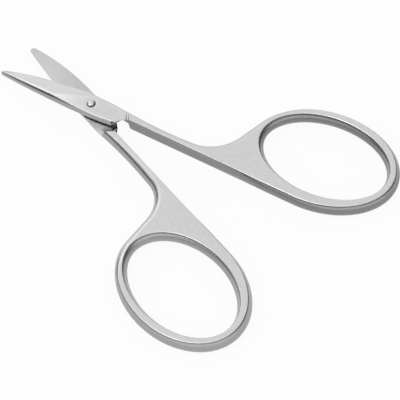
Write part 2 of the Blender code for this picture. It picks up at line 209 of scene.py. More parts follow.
# Fineness of the curves
ROUNDING_STEPS = 5
WALL_BANDS = 7
SPINE_BANDS = 11
FACE_COLUMNS = 6
GRIND_COLUMNS = 6
RING_POINTS = 160
INNER_POINTS = 40
THROAT_POINTS = 28
SHANK_STEPS = 16
PLATE_STEPS = 14
CORNER_STEPS = 5
HEEL_STEPS = 10
SHOULDER_STEPS = 5
STEP_STEPS = 16
BLADE_STEPS = 60
TIP_STEPS = 9
TIP_FIRST_ANGLE = 80.0            # degrees, round the blade's tip
TIP_LAST_ANGLE = 10.0
DOME_STEPS = 12
TURNED_STEPS = 64
SHARED_POINT_DISTANCE = 0.0000001
SHARP_ANGLE = 38.0

# Camera: degrees and metres
CAMERA_PLACE = Vector((0.25425, -0.1753, 0.36394))
CAMERA_AZIMUTH = 52.253
CAMERA_ELEVATION = 52.086
CAMERA_ROLL = 9.954
CAMERA_LENS = 226.83              # millimetres
SENSOR_WIDTH = 36.0
NEAREST_SEEN = 0.01               # metres
FARTHEST_SEEN = 10.0

# Studio, in metres and degrees
FLOOR_SIZE = 6.0
FLOOR_TILT = 1.22                 # the blades' tips and the rings' ends touch it
FLOOR_HEIGHT = -0.00113           # under the rivet's axis
FLOOR_COLOUR = 0.96
FLOOR_WHITENESS = 0.92
FLOOR_ROUGHNESS = 0.9
FLOOR_GLOSS = 0.1
LAMP_PLACE = Vector((-0.19, -0.31, 0.65))
LAMP_SIZE = 0.32
LAMP_RADIANCE = 2.4
WORLD_LEVEL = 0.75
CARD_DISTANCE = 1.4
CARD_COLUMNS = 10                 # between two stations
# Each card's name and level, and its stations: the angle from the camera's side, and how
# high the card's lower and upper edges stand there
CARDS = (
    ("dark_card", 0.15, ((-145, 0, 28), (-110, 0, 37), (-95, 2, 40), (-75, 11, 42), (-45, 17, 48),
                         (0, 22, 51), (45, 16, 50), (75, 6, 52), (100, -4, 55), (145, -4, 55))),
    ("low_bright_card", 1.25, ((-60, 0, 11), (-30, 0, 18), (0, 0, 20), (30, 0, 17), (60, 0, 9))),
    ("overhead_card", 1.35, ((-180, 66, 90), (-110, 62, 90), (-60, 52, 90), (0, 60, 90), (50, 74, 90),
                             (120, 74, 90), (180, 66, 90))),
    ("right_back_card", 1.5, ((146, 36, 47), (172, 34, 45))),
    ("left_back_card", 1.8, ((188, 28, 44), (216, 30, 48))),
)

# Sizes that follow
HALF_TURN = OPENING_ANGLE / 2
HALF_THICKNESS = HANDLE_THICKNESS / 2
INNER_FACE = JOINT_GAP / 2
PLATE_TOP = HALF_THICKNESS + PLATE_RISE
HOLE_LENGTH = RING_LENGTH - 2 * RING_BAND
HOLE_WIDTH = RING_WIDTH - RING_BAND - RING_INNER_BAND
RIVET_HOLE_RADIUS = RIVET_DIAMETER / 2 + RUNNING_CLEARANCE
RISE_OF_RING = math.hypot(RING_LENGTH / 2 * math.sin(math.radians(RING_TILT)),
                          RING_WIDTH / 2 * math.cos(math.radians(RING_TILT)))
RISE_OF_HOLE = math.hypot(HOLE_LENGTH / 2 * math.sin(math.radians(HOLE_TILT)),
                          HOLE_WIDTH / 2 * math.cos(math.radians(HOLE_TILT)))
RING_CENTRE = Vector((RING_CENTRE_REACH, INNER_EDGE_OFFSET + RISE_OF_RING))
HOLE_CENTRE = Vector((RING_CENTRE_REACH + HOLE_SHIFT,
                      INNER_EDGE_OFFSET + RING_INNER_BAND + RISE_OF_HOLE))
TIP_CENTRE = BLADE_LENGTH - TIP_RADIUS
AXIS_HEIGHT = PLATE_TOP


def smooth(value, start, end):
    """A smooth step from 0 at start to 1 at end."""
    share = min(1.0, max(0.0, (value - start) / (end - start)))
    return share * share * (3.0 - 2.0 * share)


def spread(start, end, count):
    """Evenly spaced values from start to end, both of them included."""
    return [start + (end - start) * i / (count - 1) for i in range(count)]


def rounded(before, corner, after):
    """A rounded corner: a smooth curve from before to after, pulled towards the corner."""
    return [before * (1 - t) ** 2 + corner * 2 * t * (1 - t) + after * t * t
            for t in spread(0, 1, ROUNDING_STEPS + 1)]


def ellipse_point(centre, length, width, tilt, angle):
    """A point of a tilted ellipse, and the direction in which the ellipse runs there."""
    turn = math.radians(tilt)
    along = Vector((math.cos(turn), math.sin(turn))) * (length / 2)
    across = Vector((-math.sin(turn), math.cos(turn))) * (width / 2)
    point = centre + along * math.cos(angle) + across * math.sin(angle)
    run = across * math.cos(angle) - along * math.sin(angle)
    return point, run.normalized()


def ring_point(angle):
    return ellipse_point(RING_CENTRE, RING_LENGTH, RING_WIDTH, RING_TILT, angle)


def hole_point(angle):
    return ellipse_point(HOLE_CENTRE, HOLE_LENGTH, HOLE_WIDTH, HOLE_TILT, angle)


def shank_edge(reach):
    """Outer edge of the shank's flat face: a wide arc, nearest the centre line at its waist."""
    return INNER_EDGE_OFFSET + WAIST_WIDTH + (reach - WAIST_REACH) ** 2 / (2 * SHANK_SIDE_RADIUS)


def half_width(reach):
    """Half the blade's width at a reach beyond the rivet, negative towards the rings."""
    past_widest = reach - BLADE_WIDEST_REACH
    if past_widest < 0:
        return BLADE_HALF_WIDTH - past_widest ** 2 / (2 * HEEL_SIDE_RADIUS)
    share = past_widest / (TIP_CENTRE - BLADE_WIDEST_REACH)
    return BLADE_HALF_WIDTH - (BLADE_HALF_WIDTH - TIP_RADIUS) * share * share


def spine_height(reach):
    """Height of the blade's outer face along the spine, at a reach beyond the rivet."""
    share = max(0.0, reach) / BLADE_LENGTH
    return PLATE_TOP - (PLATE_TOP - INNER_FACE - TIP_THICKNESS) * share * share


def throat():
    """The hollow arc from the ring down to the shank, tangent to both."""
    leave, run = ring_point(math.radians(THROAT_LEAVE_ANGLE))
    side = Vector((-run.y, run.x))
    start = Vector((THROAT_START_REACH, shank_edge(THROAT_START_REACH)))
    up = Vector((-(THROAT_START_REACH - WAIST_REACH) / SHANK_SIDE_RADIUS, 1.0)).normalized()
    radius = (leave - start).dot(side) / (1.0 + up.dot(side))
    centre = start + up * radius
    angles = spread(math.atan2(side.y, side.x), math.atan2(-up.y, -up.x), THROAT_POINTS)
    return [centre + Vector((math.cos(a), math.sin(a))) * radius for a in angles]


def handle_outline():
    """The flat face's outline, from the waist's inner edge round the ring to its outer edge."""
    turn = math.radians(RING_TILT)
    lowest_angle = math.atan2(RING_WIDTH * math.cos(turn), RING_LENGTH * math.sin(turn)) - math.pi
    leave_angle = math.radians(THROAT_LEAVE_ANGLE)
    lowest = ring_point(lowest_angle)[0]
    inner = [Vector((x, INNER_EDGE_OFFSET)) for x in spread(WAIST_REACH, lowest.x, INNER_POINTS)]
    arc_points = round(RING_POINTS * (leave_angle - lowest_angle) / (2 * math.pi))
    ring = [ring_point(a)[0] for a in spread(lowest_angle, leave_angle, arc_points)]
    reaches = spread(THROAT_START_REACH, WAIST_REACH, SHANK_STEPS)
    outer = [Vector((x, shank_edge(x))) for x in reaches]
    return inner + ring[1:] + throat() + outer[1:]


def outward_directions(outline):
    """The outward direction at each point of the handle's outline, square across at its ends."""
    sides = []
    for behind, ahead in zip(outline[:-2], outline[2:]):
        run = (ahead - behind).normalized()
        sides.append(Vector((run.y, -run.x)))
    return [Vector((0, -1))] + sides + [Vector((0, 1))]


def wall_swell(point, side):
    """How far the outer wall stands out: flat along the shank's inner side, fullest round the ring."""
    if side.y < 0:
        return RING_WALL_SWELL * smooth(point.x, SWELL_START_REACH, SWELL_FULL_REACH)
    share = smooth(point.x, THROAT_START_REACH, RING_CENTRE_REACH - RING_LENGTH / 2)
    return SHANK_WALL_SWELL + (RING_WALL_SWELL - SHANK_WALL_SWELL) * share


def wall_rounding(point, side):
    """How far a wall's edge is rounded over: more along the shank's outer side."""
    if side.y < 0:
        return EDGE_ROUNDING
    share = smooth(point.x, ROUNDING_LEAVE_REACH, ROUNDING_END_REACH)
    return SHANK_ROUNDING + (EDGE_ROUNDING - SHANK_ROUNDING) * share


def half_wall(face, swell, rounding, fullness=WALL_FULLNESS):
    """Offsets and heights down a wall, from a flat face's rounded edge to the inner faces' height."""
    start = rounding / abs(face - INNER_FACE)
    points = []
    for s in spread(start, 1, WALL_BANDS + 1):
        points.append(Vector((swell * (1 - (1 - s) ** fullness), face + (INNER_FACE - face) * s)))
    return rounded(Vector((-rounding, face)), Vector((0, face)), points[0]) + points[1:]


def whole_wall(swell, rounding, fullness):
    """Offsets and heights down a whole wall, from the outer face to the far one."""
    far = half_wall(-HALF_THICKNESS, swell, rounding, fullness)
    far.reverse()
    return half_wall(HALF_THICKNESS, swell, rounding, fullness) + far[1:]


def join_rows(mesh, rows, closed):
    """Faces between neighbouring rows of vertices."""
    for upper, lower in zip(rows, rows[1:]):
        last = len(upper) if closed else len(upper) - 1
        for i in range(last):
            j = (i + 1) % len(upper)
            mesh.faces.new((upper[i], lower[i], lower[j], upper[j]))


def face_shares():
    """Where the columns of a flat face lie across it, as shares of its width."""
    return spread(0, 1, FACE_COLUMNS + GRIND_COLUMNS + 1)


def wall_vertices(mesh, points, sides, swells, roundings, fullness):
    """Rows of vertices down a wall that stands on these points."""
    walls = [whole_wall(swell, rounding, fullness) for swell, rounding in zip(swells, roundings)]
    rows = []
    for row in zip(*walls):
        rows.append([mesh.verts.new((*(point + side * spot.x), spot.y))
                     for point, side, spot in zip(points, sides, row)])
    return rows


def add_handle(mesh):
    """Ring and shank up to the waist: swollen walls between two flat faces."""
    outline = handle_outline()
    sides = outward_directions(outline)
    swells = [wall_swell(point, side) for point, side in zip(outline, sides)]
    roundings = [wall_rounding(point, side) for point, side in zip(outline, sides)]
    outer_rows = wall_vertices(mesh, outline, sides, swells, roundings, WALL_FULLNESS)
    hole = [hole_point(2 * math.pi * i / RING_POINTS) for i in range(RING_POINTS)]
    hole_rows = wall_vertices(mesh, [point for point, run in hole],
                              [Vector((-run.y, run.x)) for point, run in hole],
                              [HOLE_WALL_SWELL] * RING_POINTS, [EDGE_ROUNDING] * RING_POINTS,
                              HOLE_FULLNESS)
    join_rows(mesh, outer_rows, False)
    join_rows(mesh, hole_rows, True)
    for rim, hole_rim in ((outer_rows[0], hole_rows[0]), (outer_rows[-1], hole_rows[-1])):
        start, end = rim[-1].co, rim[0].co
        waist = [mesh.verts.new(start.lerp(end, share)) for share in face_shares()[1:-1]]
        edges = []
        for loop in (rim + waist, hole_rim):
            for first, second in zip(loop, loop[1:] + loop[:1]):
                edges.append(mesh.edges.get((first, second)) or mesh.edges.new((first, second)))
        bmesh.ops.triangle_fill(mesh, use_beauty=True, edges=edges)


def outer_profile(reach, width, top, swell, side_rounding, grind_share):
    """Offsets and heights over the outer face and down the rounded side to the inner face.

    The face runs flat to where the grind starts, and then down the grind.
    """
    height = top - INNER_FACE
    rounding = side_rounding + (CUTTING_ROUNDING - side_rounding) * grind_share
    soft_share = 1 - smooth(reach, PLATE_EVEN_REACH, SPINE_SOFT_END_REACH)
    width_share = width / (2 * BLADE_HALF_WIDTH)
    softness = EDGE_ROUNDING + (SPINE_SOFTNESS - EDGE_ROUNDING) * soft_share * width_share
    ground_share = grind_share * (1 - EDGE_THICKNESS / height)

    def side(s):
        return Vector((width - swell * (1 - s) ** 2, top - height * s))

    ground_corner = side(ground_share)
    face_end = ground_corner.x - rounding
    flat_end = face_end - (1 - SPINE_LAND_SHARE) * grind_share * (face_end - softness)
    slope = height * ground_share / (ground_corner.x - flat_end)
    profile = [Vector((u, top)) for u in spread(softness, flat_end, FACE_COLUMNS + 1)]
    profile += [Vector((u, top - slope * (u - flat_end)))
                for u in spread(flat_end, face_end, GRIND_COLUMNS + 1)[1:]]
    wall = [side(s) for s in spread(ground_share + rounding / height, 1, WALL_BANDS + 1)]
    return profile + rounded(profile[-1], ground_corner, wall[0])[1:] + wall[1:]


def far_points(inner, across, width, swell, side_rounding):
    """Points round the shank's far half: side, flat face and inner wall."""
    far_side = half_wall(-HALF_THICKNESS, swell, side_rounding)
    far_side.reverse()
    points = [(*(inner + across * (width - swell + spot.x)), spot.y) for spot in far_side[1:]]
    first = width - swell - side_rounding
    for share in face_shares()[1:]:
        offset = first + (EDGE_ROUNDING - first) * share
        points.append((*(inner + across * offset), -HALF_THICKNESS))
    for spot in half_wall(-HALF_THICKNESS, 0, EDGE_ROUNDING)[1:]:
        points.append((*(inner - across * spot.x), spot.y))
    return points


def spine_points(spine_top, spine_low, top, last):
    """Points up the spine's wall, part hollow and part bevel, and over its rounded edge."""
    height = top - INNER_FACE
    start = EDGE_ROUNDING * top / PLATE_TOP / height
    wall = []
    for depth in spread(1, 0, SPINE_BANDS + 1):
        s = start + (1 - start) * depth * depth
        bevel = max(0.0, 1 - s / SPINE_BEVEL_DEPTH)
        inset = SPINE_BEVEL_SHARE * bevel + (1 - SPINE_BEVEL_SHARE) * (1 - s) ** 2
        wall.append(Vector((*spine_low.lerp(spine_top, inset), top - height * s)))
    corner = Vector((*spine_top, top))
    return [tuple(spot) for spot in wall[1:] + rounded(wall[-1], corner, last)[1:-1]]


def section(spine_top, spine_low, edge, top, swell, side_rounding, grind_share, full):
    """One section's points, from the outer face's inner or spine side right round.

    A full section goes round the shank's far half. Any other goes straight back over the
    inner face. The spine's wall closes it, from the inner face up to the outer.
    """
    width = (edge - spine_top).length
    across = (edge - spine_top) / width
    profile = outer_profile(spine_top.x, width, top, swell, side_rounding, grind_share)
    points = [(*(spine_top + across * spot.x), spot.y) for spot in profile]
    if full:
        points += far_points(spine_top, across, width, swell, side_rounding)
    else:
        hidden = 2 * (ROUNDING_STEPS + WALL_BANDS) + FACE_COLUMNS + GRIND_COLUMNS
        points += [(*edge.lerp(spine_low, share), INNER_FACE) for share in spread(0, 1, hidden + 1)[1:]]
    return points + spine_points(spine_top, spine_low, top, Vector(points[0]))


def blade_sections(lower):
    """Sections from the tip to the rivet."""
    stations = [(TIP_CENTRE + TIP_RADIUS * math.sin(a), TIP_RADIUS * math.cos(a))
                for a in spread(math.radians(TIP_FIRST_ANGLE), math.radians(TIP_LAST_ANGLE), TIP_STEPS)]
    stations += [(reach, half_width(reach)) for reach in spread(TIP_CENTRE, 0, BLADE_STEPS)]
    sections = []
    for reach, half in stations:
        grind = min(1.0, (reach - GRIND_START_REACH) / (GRIND_FULL_REACH - GRIND_START_REACH))
        grind = max(0.0, grind)
        swell = PLATE_SIDE_SWELL * (1 - grind)
        inset = SPINE_SWELL * grind * half / BLADE_HALF_WIDTH
        fullness = math.sqrt(min(1.0, half / TIP_RADIUS))
        top = INNER_FACE + (spine_height(reach) - INNER_FACE) * fullness
        points = section(Vector((-reach, inset - half)), Vector((-reach, -half)),
                         Vector((-reach, half)), top, swell, EDGE_ROUNDING, grind, False)
        sections.append([relieved(point, top) for point in points] if lower else points)
    return sections


def shoulder_outer_reach():
    """Where the slanting shoulder meets the shank's outer side."""
    rise = shank_edge(SHOULDER_REACH) + SHANK_WALL_SWELL - INNER_EDGE_OFFSET
    return SHOULDER_REACH - rise * math.tan(math.radians(SHOULDER_SLANT))


def side_point(reach):
    """The widest line of the shank's outer side, at the height of the inner faces."""
    return Vector((reach, shank_edge(reach) + SHANK_WALL_SWELL))


def heel_points(lower):
    """The heel's corner and notch on a half's outer face, then the same two on its inner face."""
    if lower:
        return (Vector((LOWER_CORNER_REACH, -half_width(-LOWER_CORNER_REACH))),
                Vector((LOWER_NOTCH_REACH, LOWER_NOTCH_OFFSET)),
                Vector((LOWER_UNDER_CORNER_REACH, LOWER_UNDER_CORNER_OFFSET)),
                Vector((LOWER_UNDER_NOTCH_REACH, LOWER_UNDER_NOTCH_OFFSET)))
    return (Vector((UPPER_CORNER_REACH, -half_width(-UPPER_CORNER_REACH))),
            Vector((UPPER_NOTCH_REACH, UPPER_NOTCH_OFFSET)),
            Vector((UPPER_UNDER_CORNER_REACH, UPPER_UNDER_CORNER_OFFSET)),
            Vector((UPPER_UNDER_NOTCH_REACH, UPPER_UNDER_NOTCH_OFFSET)))


def relieved(point, top):
    """A point of the lower blade or plate, moved for the grinding back of its inner face."""
    x, y, z = point
    kept = smooth(x, RELIEF_LEAVE_REACH, RELIEF_END_REACH)
    kept *= smooth(y, RELIEF_LEAVE_OFFSET, RELIEF_END_OFFSET)
    depth = RELIEF_DEPTH * smooth(x, RELIEF_START_REACH, RELIEF_FULL_REACH) * (1 - kept)
    return (x, y, z + depth * (top - z) / (top - INNER_FACE))


def plate_sections(lower):
    """Sections of the lap plate, from the rivet to the slanting shoulder.

    Each has a point on the outer face's spine side and one on the inner face's: the
    heel slopes in under the outer face, and the inner face is narrow there.
    """
    tops = [Vector((x, -half_width(-x))) for x in spread(0, PLATE_EVEN_REACH, PLATE_STEPS)]
    lows = list(tops)
    corner, notch, under_corner, under_notch = heel_points(lower)
    shoulder = Vector((SHOULDER_REACH, INNER_EDGE_OFFSET))
    even_end = tops[-1]
    for share in spread(0, 1, CORNER_STEPS + 1)[1:-1]:
        tops.append(even_end.lerp(corner, share))
        lows.append(even_end.lerp(under_corner, share))
    for share in spread(0, 1, HEEL_STEPS + 1):
        tops.append(corner.lerp(notch, share))
        lows.append(under_corner.lerp(under_notch, share))
    for share in spread(0, 1, STEP_STEPS + 1)[1:]:
        tops.append(notch.lerp(shoulder, share))
        lows.append(under_notch.lerp(shoulder, share))
    start = Vector((0, half_width(0)))
    end = side_point(shoulder_outer_reach())
    sections = []
    for i in range(1, len(tops)):
        share = i / (len(tops) - 1)
        fall = smooth(tops[i].x, FALL_START_REACH, FALL_END_REACH)
        height = PLATE_TOP + (HALF_THICKNESS - PLATE_TOP) * fall
        swell = PLATE_SIDE_SWELL + (SHANK_WALL_SWELL - PLATE_SIDE_SWELL) * share
        rounding = EDGE_ROUNDING + (SHANK_ROUNDING - EDGE_ROUNDING) * share
        points = section(tops[i], lows[i], start.lerp(end, share), height, swell, rounding, 0.0,
                         False)
        sections.append([relieved(point, height) for point in points] if lower else points)
    return sections


def shank_section(inner_reach, outer_reach, full):
    inner = Vector((inner_reach, INNER_EDGE_OFFSET))
    return section(inner, inner, side_point(outer_reach), HALF_THICKNESS, SHANK_WALL_SWELL,
                   SHANK_ROUNDING, 0.0, full)


def shank_sections():
    """The shoulder, with its end rounded, then full sections to the waist."""
    outer_start = shoulder_outer_reach()
    sections = []
    for a in spread(0, math.pi / 2, SHOULDER_STEPS + 1)[:-1]:
        advance = SHOULDER_ROUNDING * (1 - math.cos(a))
        depth_share = 1 - SHOULDER_ROUNDING / HALF_THICKNESS * (1 - math.sin(a))
        bare = shank_section(SHOULDER_REACH + advance, outer_start + advance, False)
        full = shank_section(SHOULDER_REACH + advance, outer_start + advance, True)
        sections.append([Vector(b).lerp(Vector(f), depth_share) for b, f in zip(bare, full)])
    for inner_reach, outer_reach in zip(
            spread(SHOULDER_REACH + SHOULDER_ROUNDING, WAIST_REACH, SHANK_STEPS + 1),
            spread(outer_start + SHOULDER_ROUNDING, WAIST_REACH, SHANK_STEPS + 1)):
        sections.append(shank_section(inner_reach, outer_reach, True))
    return sections


def drop(reach):
    """How far a blade is bent down at a reach from the rivet's axis."""
    share = max(0.0, reach - BEND_START_REACH) / (BLADE_LENGTH - BEND_START_REACH)
    return TIP_DROP * share * share


def place(point, lower):
    """A half's own point, turned over for the lower half, with the blade's bend."""
    x, y, z = point
    if lower:
        y, z = -y, -z
    if x < 0:
        z -= drop(math.hypot(x, y))
    return Vector((x, y, z))


def forged_half(name, lower):
    """Mesh of one half: blade, lap plate, shank and ring in one closed skin."""
    mesh = bmesh.new()
    add_handle(mesh)
    sections = blade_sections(lower) + plate_sections(lower) + shank_sections()
    rows = [[mesh.verts.new(point) for point in points] for points in sections]
    join_rows(mesh, rows, True)
    bmesh.ops.remove_doubles(mesh, verts=mesh.verts, dist=SHARED_POINT_DISTANCE)
    open_edges = [edge for edge in mesh.edges if edge.is_boundary]
    bmesh.ops.holes_fill(mesh, edges=open_edges)
    for vertex in mesh.verts:
        vertex.co = place(vertex.co, lower)
    bmesh.ops.recalc_face_normals(mesh, faces=mesh.faces)
    data = bpy.data.meshes.new(name)
    mesh.to_mesh(data)
    mesh.free()
    return data


def add_object(name, data):
    """An object on the rivet's axis, at the height of the inner faces."""
    thing = bpy.data.objects.new(name, data)
    thing.location.z = AXIS_HEIGHT
    bpy.context.scene.collection.objects.link(thing)
    return thing


def add_turned(name, profile):
    """A turned solid: a profile of (radius, height) points from the top down, swept round."""
    mesh = bmesh.new()
    vertices = [mesh.verts.new((radius, 0, height)) for radius, height in profile]
    for upper, lower in zip(vertices, vertices[1:]):
        mesh.edges.new((upper, lower))
    axis = {"cent": (0, 0, 0), "axis": (0, 0, 1)}
    bmesh.ops.spin(mesh, geom=mesh.verts[:] + mesh.edges[:], angle=2 * math.pi,
                   steps=TURNED_STEPS, use_merge=True, use_duplicate=False, **axis)
    bmesh.ops.remove_doubles(mesh, verts=mesh.verts, dist=SHARED_POINT_DISTANCE)
    bmesh.ops.recalc_face_normals(mesh, faces=mesh.faces)
    data = bpy.data.meshes.new(name)
    mesh.to_mesh(data)
    mesh.free()
    return add_object(name, data)


def rivet_profile():
    """Domed head above the upper plate, plain shaft, countersunk tail flush with the lower plate."""
    head = RIVET_HEAD_DIAMETER / 2
    head_base = PLATE_TOP - SEAT_DEPTH + RUNNING_CLEARANCE
    dome_base = head_base + RIVET_HEAD_SIDE
    dome_rise = PLATE_TOP + RIVET_HEAD_RISE - dome_base
    dome = [(head * math.cos(a), dome_base + dome_rise * math.sin(a))
            for a in spread(math.pi / 2, 0, DOME_STEPS + 1)]
    dome[0] = (0, dome_base + dome_rise)
    shaft = RIVET_DIAMETER / 2
    tail = RIVET_TAIL_DIAMETER / 2
    return dome + [(head, head_base), (shaft, head_base), (shaft, RIVET_TAIL_DEPTH - PLATE_TOP),
                   (tail, -PLATE_TOP), (0, -PLATE_TOP)]


def upper_cut_profile():
    """Running hole through the upper plate, with a shallow dish round the head."""
    seat = SEAT_DIAMETER / 2
    floor_edge = RIVET_HEAD_DIAMETER / 2 + RUNNING_CLEARANCE
    widening = seat - floor_edge
    return [(0, PLATE_TOP + CUT_OVERRUN), (seat + widening, PLATE_TOP + CUT_OVERRUN),
            (seat + widening, PLATE_TOP + SEAT_DEPTH), (floor_edge, PLATE_TOP - SEAT_DEPTH),
            (RIVET_HOLE_RADIUS, PLATE_TOP - SEAT_DEPTH), (RIVET_HOLE_RADIUS, -CUT_OVERRUN),
            (0, -CUT_OVERRUN)]


def lower_cut_profile():
    """Hole through the lower plate, countersunk for the rivet's tail."""
    tail = RIVET_TAIL_DIAMETER / 2 + RUNNING_CLEARANCE
    slope = (tail - RIVET_HOLE_RADIUS) / RIVET_TAIL_DEPTH
    return [(0, CUT_OVERRUN), (RIVET_HOLE_RADIUS, CUT_OVERRUN),
            (RIVET_HOLE_RADIUS, RIVET_TAIL_DEPTH - PLATE_TOP),
            (tail + slope * CUT_OVERRUN, -PLATE_TOP - CUT_OVERRUN), (0, -PLATE_TOP - CUT_OVERRUN)]


def add_groove_cutter(name, lower):
    """A shallow slanting channel between the plate's outer face and the shank's."""
    slope = (GROOVE_MOUTH_WIDTH - GROOVE_FLOOR_WIDTH) / (2 * GROOVE_DEPTH)
    slant = math.radians(GROOVE_SLANT)
    along = Vector((-math.sin(slant), math.cos(slant), 0))
    across = Vector((math.cos(slant), math.sin(slant), 0))
    start = Vector((GROOVE_REACH, INNER_EDGE_OFFSET, HALF_THICKNESS - GROOVE_DEPTH))
    fall = Vector((0, 0, GROOVE_DEPTH / GROOVE_LENGTH))
    mesh = bmesh.new()
    ends = []
    for reach in (-CUT_OVERRUN, GROOVE_LENGTH + CUT_OVERRUN):
        middle = start + (along + fall) * reach
        corners = []
        for rise in (0, CUT_OVERRUN):
            half = GROOVE_FLOOR_WIDTH / 2 + slope * rise
            corners += [middle + across * half + Vector((0, 0, rise)),
                        middle - across * half + Vector((0, 0, rise))]
        ends.append([mesh.verts.new(place(corners[i], lower)) for i in (0, 1, 3, 2)])
    join_rows(mesh, ends, True)
    mesh.faces.new(ends[0])
    mesh.faces.new(ends[1])
    bmesh.ops.recalc_face_normals(mesh, faces=mesh.faces)
    data = bpy.data.meshes.new(name)
    mesh.to_mesh(data)
    mesh.free()
    return add_object(name, data)


def cut(thing, cutter):
    """Takes a cutter's shape out of a piece's mesh, and removes the cutter."""
    boolean = thing.modifiers.new("cut", "BOOLEAN")
    boolean.operation = "DIFFERENCE"
    boolean.object = cutter
    view_layer = bpy.context.evaluated_depsgraph_get()
    whole = thing.data
    thing.data = bpy.data.meshes.new_from_object(thing.evaluated_get(view_layer))
    thing.data.name = whole.name
    thing.modifiers.clear()
    bpy.data.meshes.remove(whole)
    bpy.data.objects.remove(cutter)


def shade(thing):
    """Smooth shading, with its edges kept sharp and its flat faces flat."""
    thing.data.shade_smooth()
    thing.data.set_sharp_from_angle(angle=math.radians(SHARP_ANGLE))
    weighted = thing.modifiers.new("flat faces", "WEIGHTED_NORMAL")
    weighted.keep_sharp = True


class Surface:
    """A metal surface's material, with short ways to make the nodes that it uses."""

    def __init__(self, name):
        self.material = bpy.data.materials.new(name)
        self.material.use_nodes = True
        self.nodes = self.material.node_tree.nodes
        self.links = self.material.node_tree.links
        self.shader = self.nodes["Principled BSDF"]
        self.shader.inputs["Metallic"].default_value = 1.0

    def turned(self, vector, turn):
        """A vector of the object's, in a half's own frame."""
        mapping = self.nodes.new("ShaderNodeMapping")
        mapping.inputs["Rotation"].default_value = (0.0, 0.0, math.radians(-turn))
        self.links.new(vector, mapping.inputs["Vector"])
        return mapping.outputs["Vector"]

    def parts(self, vector):
        """A vector's X, Y and Z."""
        split = self.nodes.new("ShaderNodeSeparateXYZ")
        self.links.new(vector, split.inputs["Vector"])
        return split.outputs

    def absolute(self, value):
        maths = self.nodes.new("ShaderNodeMath")
        maths.operation = "ABSOLUTE"
        self.links.new(value, maths.inputs[0])
        return maths.outputs[0]

    def ease(self, value, start, end):
        """A smooth step from 0 at start to 1 at end."""
        step = self.nodes.new("ShaderNodeMapRange")
        step.interpolation_type = "SMOOTHSTEP"
        step.inputs["From Min"].default_value = start
        step.inputs["From Max"].default_value = end
        self.links.new(value, step.inputs["Value"])
        return step.outputs["Result"]

    def times(self, first, second):
        product = self.nodes.new("ShaderNodeMath")
        product.operation = "MULTIPLY"
        self.links.new(first, product.inputs[0])
        self.links.new(second, product.inputs[1])
        return product.outputs[0]

    def streaks(self, vector, scale, detail):
        """Noise that is stretched along the piece, as brushing leaves it."""
        stretch = self.nodes.new("ShaderNodeMapping")
        stretch.inputs["Scale"].default_value = scale
        noise = self.nodes.new("ShaderNodeTexNoise")
        noise.inputs["Scale"].default_value = 1.0
        noise.inputs["Detail"].default_value = detail
        self.links.new(vector, stretch.inputs["Vector"])
        self.links.new(stretch.outputs["Vector"], noise.inputs["Vector"])
        return noise.outputs["Fac"]

    def ramp(self, value, stops):
        """A grey level between two stops, each a position and its level."""
        colours = self.nodes.new("ShaderNodeValToRGB")
        for element, (position, level) in zip(colours.color_ramp.elements, stops):
            element.position = position
            element.color = (level, level, level, 1.0)
        self.links.new(value, colours.inputs["Fac"])
        return colours.outputs["Color"]

    def mix(self, factor, first, second, kind="MIX"):
        """Two colours mixed, each a plain one or another node's."""
        blend = self.nodes.new("ShaderNodeMix")
        blend.data_type = "RGBA"
        blend.blend_type = kind
        if isinstance(factor, float):
            blend.inputs["Factor"].default_value = factor
        else:
            self.links.new(factor, blend.inputs["Factor"])
        for socket, value in ((6, first), (7, second)):
            if isinstance(value, tuple):
                blend.inputs[socket].default_value = (*value, 1.0)
            else:
                self.links.new(value, blend.inputs[socket])
        return blend.outputs[2]


def scaled(colour, share):
    return tuple(part * share for part in colour)


def wall_colour(surface, colours, reach, height, tilt, on_blade):
    """A wall's colour, with painted shade: darker by the rings' edges, and with the painted light and
    shade of the plate and the spine.
    """
    edge_line = surface.times(surface.ease(height, WALL_DARK_START, WALL_DARK_FULL),
                              surface.ease(reach["X"], SWELL_START_REACH, SWELL_FULL_REACH))
    wall = surface.mix(edge_line, colours.wall, scaled(colours.wall, WALL_DARK_SHARE))
    on_plate = surface.ease(reach["X"], PLATE_PAINTED_LIGHT_START, PLATE_PAINTED_LIGHT_FULL)
    wall = surface.mix(on_plate, wall, colours.spine)
    on_bevel = surface.ease(tilt, SPINE_DARK_START_TILT, SPINE_DARK_FULL_TILT)
    spine = surface.mix(on_bevel, colours.spine, scaled(colours.spine, SPINE_DARK_SHARE))
    return surface.mix(on_blade, wall, spine)


def painted_heel_shadow(surface, reach, facing, tilt, side):
    """1 on the heel's slope, where its shadow is painted, on the side where the half's spine lies, and
    0 elsewhere.
    """
    past_corner = surface.ease(reach["X"], DARK_START_REACH, DARK_FULL_REACH)
    before_shank = surface.ease(reach["X"], DARK_END_REACH, DARK_LEAVE_REACH)
    spine_side = surface.ease(reach["Y"], side * DARK_END_OFFSET, side * DARK_FULL_OFFSET)
    sloping = surface.times(surface.ease(facing["X"], SLOPE_START_FACING, SLOPE_FULL_FACING),
                            surface.ease(tilt, SLOPE_START_TILT, SLOPE_FULL_TILT))
    return surface.times(surface.times(past_corner, before_shank), surface.times(spine_side, sloping))


